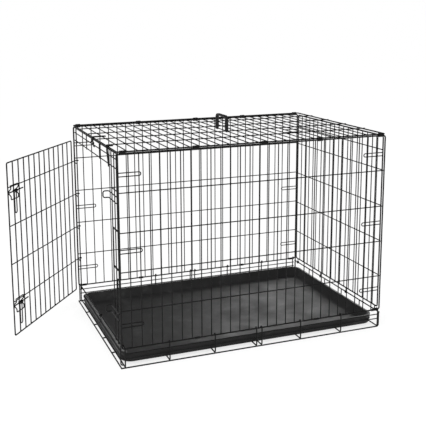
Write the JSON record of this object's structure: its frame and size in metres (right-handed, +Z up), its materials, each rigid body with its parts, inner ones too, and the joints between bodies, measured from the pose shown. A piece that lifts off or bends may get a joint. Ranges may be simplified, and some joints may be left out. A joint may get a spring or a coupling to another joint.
{
  "type": "wire dog crate",
  "caption": "Folding wire dog crate: welded wire panels, a hinged end door on slide bolts, a roof held by clips and hooks, a slide-out plastic floor tray and a carry handle.",
  "frame": {"origin": "middle of the crate's floor, on the surface that it stands on", "axes": "+X along the crate from the door end to the rear end, +Y from the long side that faces the viewer to the back one, +Z up"},
  "size_m": [1.4168, 0.7402, 0.849],
  "materials": {
    "panel_wire": "satin black dip coat on round steel wire",
    "base_wire": "satin black dip coat on thicker round steel wire",
    "latch_wire": "satin black dip coat, worn where the latch wires rub",
    "clip_steel": "black coated clips",
    "tray_plastic": "black moulded plastic with a fine satin grain",
    "handle_plastic": "black moulded plastic"
  },
  "bodies": {
    "crate": {"base_floor_grid": "base_wire", "base_front_wall": "base_wire", "base_back_wall": "base_wire", "base_rear_rim": "base_wire", "base_front_sill": "base_wire", "base_corner_posts": "base_wire", "front_side_panel": "panel_wire", "back_side_panel": "panel_wire", "front_rail_sleeves": "clip_steel", "back_rail_sleeves": "clip_steel", "top_panel": "panel_wire", "top_front_rings": "clip_steel", "top_back_rings": "clip_steel", "front_header": "panel_wire", "front_hinge_jamb": "panel_wire", "front_latch_jamb": "panel_wire", "front_threshold": "panel_wire", "front_fingers": "panel_wire", "roof_tongue_hook": "latch_wire", "roof_short_hook": "latch_wire", "upper_strike": "latch_wire", "lower_strike": "latch_wire", "jamb_staple": "latch_wire"},
    "door": {"door_panel": "panel_wire", "upper_latch_bracket": "latch_wire", "lower_latch_bracket": "latch_wire"},
    "upper_bolt": {"upper_bolt": "latch_wire"},
    "lower_bolt": {"lower_bolt": "latch_wire"},
    "upper_pull": {"upper_bolt_pull": "latch_wire"},
    "lower_pull": {"lower_bolt_pull": "latch_wire"},
    "tray": {"tray": "tray_plastic"},
    "tray_stop": {"tray_stop": "latch_wire"},
    "rear_end": {"rear_panel": "panel_wire", "rear_hinge_eyes": "panel_wire", "rear_fingers": "panel_wire"},
    "handle": {"handle_grip": "handle_plastic", "handle_clips": "handle_plastic"}
  },
  "joints": [
    {"name": "door_swing", "type": "hinge", "parent": "crate", "child": "door", "pos_m": [-0.5339, 0.306, 0.4], "axis": [0, 0, -1], "range_deg": [-37.5, 115]},
    {"name": "upper_bolt_slide", "type": "slide", "parent": "door", "child": "upper_bolt", "axis": [-0.6088, -0.7934, 0], "range_m": [0, 0.027]},
    {"name": "upper_pull_swing", "type": "hinge", "parent": "upper_bolt", "child": "upper_pull", "pos_m": [-0.84078, -0.06355, 0.6186], "axis": [0.6088, 0.7934, 0], "range_deg": [-1.5, 150]},
    {"name": "lower_bolt_slide", "type": "slide", "parent": "door", "child": "lower_bolt", "axis": [-0.6088, -0.7934, 0], "range_m": [0, 0.027]},
    {"name": "lower_pull_swing", "type": "hinge", "parent": "lower_bolt", "child": "lower_pull", "pos_m": [-0.84078, -0.06355, 0.1914], "axis": [0.6088, 0.7934, 0], "range_deg": [-1.5, 150]},
    {"name": "tray_slide", "type": "slide", "parent": "crate", "child": "tray", "axis": [-1, 0, 0], "range_m": [0, 0.8]},
    {"name": "stop_swing", "type": "hinge", "parent": "crate", "child": "tray_stop", "pos_m": [-0.52855, -0.025, 0.078], "axis": [0, 1, 0], "range_deg": [-15, 80]},
    {"name": "rear_panel_fold", "type": "hinge", "parent": "crate", "child": "rear_end", "pos_m": [0.5334, 0, 0.063], "axis": [0, -1, 0], "range_deg": [0, 70]},
    {"name": "handle_flip", "type": "hinge", "parent": "crate", "child": "handle", "pos_m": [0, 0, 0.787], "axis": [0, 1, 0], "range_deg": [-75, 75]}
  ]
}
